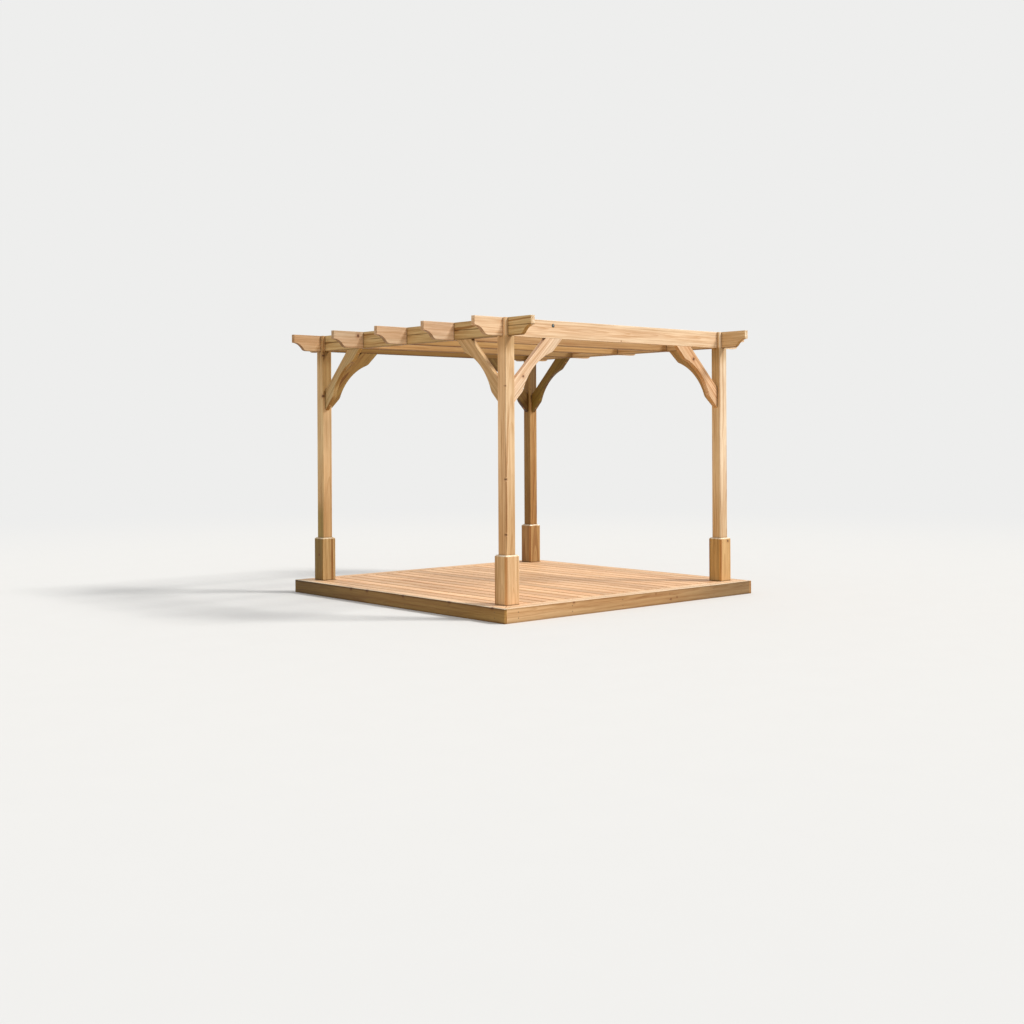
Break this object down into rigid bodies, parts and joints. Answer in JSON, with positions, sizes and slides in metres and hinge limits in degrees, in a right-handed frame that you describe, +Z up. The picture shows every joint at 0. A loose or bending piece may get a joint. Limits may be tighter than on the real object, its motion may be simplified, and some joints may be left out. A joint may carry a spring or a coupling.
{
  "type": "wooden pergola",
  "caption": "Square timber garden pergola on a low deck: four boxed posts, arched knee braces and an open roof of halved beams and rafters with ogee tails.",
  "frame": {"origin": "centre of the deck at ground level", "axes": "+X along the rafters to the right, +Y along the beams to the back, +Z up"},
  "size_m": [3.47, 3.43, 2.54],
  "materials": {
    "post_timber": "planed softwood, eased arrises, dry oil",
    "sleeve_board": "planed softwood boards, dry oil",
    "brace_timber": "planed softwood, dry oil",
    "roof_timber": "planed softwood, dry oil",
    "deck_board": "planed softwood deck boards, dry",
    "fascia_board": "pressure-treated softwood, dry",
    "joist_timber": "pressure-treated softwood, sawn"
  },
  "bodies": {
    "root": {"post_front_left": "post_timber", "post_front_right": "post_timber", "post_back_left": "post_timber", "post_back_right": "post_timber", "post_sleeve_front_left": "sleeve_board", "post_sleeve_front_right": "sleeve_board", "post_sleeve_back_left": "sleeve_board", "post_sleeve_back_right": "sleeve_board", "brace_rafter_front_left": "brace_timber", "brace_rafter_front_right": "brace_timber", "brace_rafter_back_left": "brace_timber", "brace_rafter_back_right": "brace_timber", "brace_beam_front_left": "brace_timber", "brace_beam_front_right": "brace_timber", "brace_beam_back_left": "brace_timber", "brace_beam_back_right": "brace_timber", "beam_left": "roof_timber", "beam_right": "roof_timber", "rafter_front": "roof_timber", "rafter_2": "roof_timber", "rafter_3": "roof_timber", "rafter_4": "roof_timber", "rafter_back": "roof_timber", "deck_boards": "deck_board", "deck_border_front": "deck_board", "deck_border_back": "deck_board", "deck_border_left": "deck_board", "deck_border_right": "deck_board", "fascia_front": "fascia_board", "fascia_back": "fascia_board", "fascia_left": "fascia_board", "fascia_right": "fascia_board", "deck_joists": "joist_timber", "rim_joist_left": "joist_timber", "rim_joist_right": "joist_timber"}
  },
  "joints": []
}
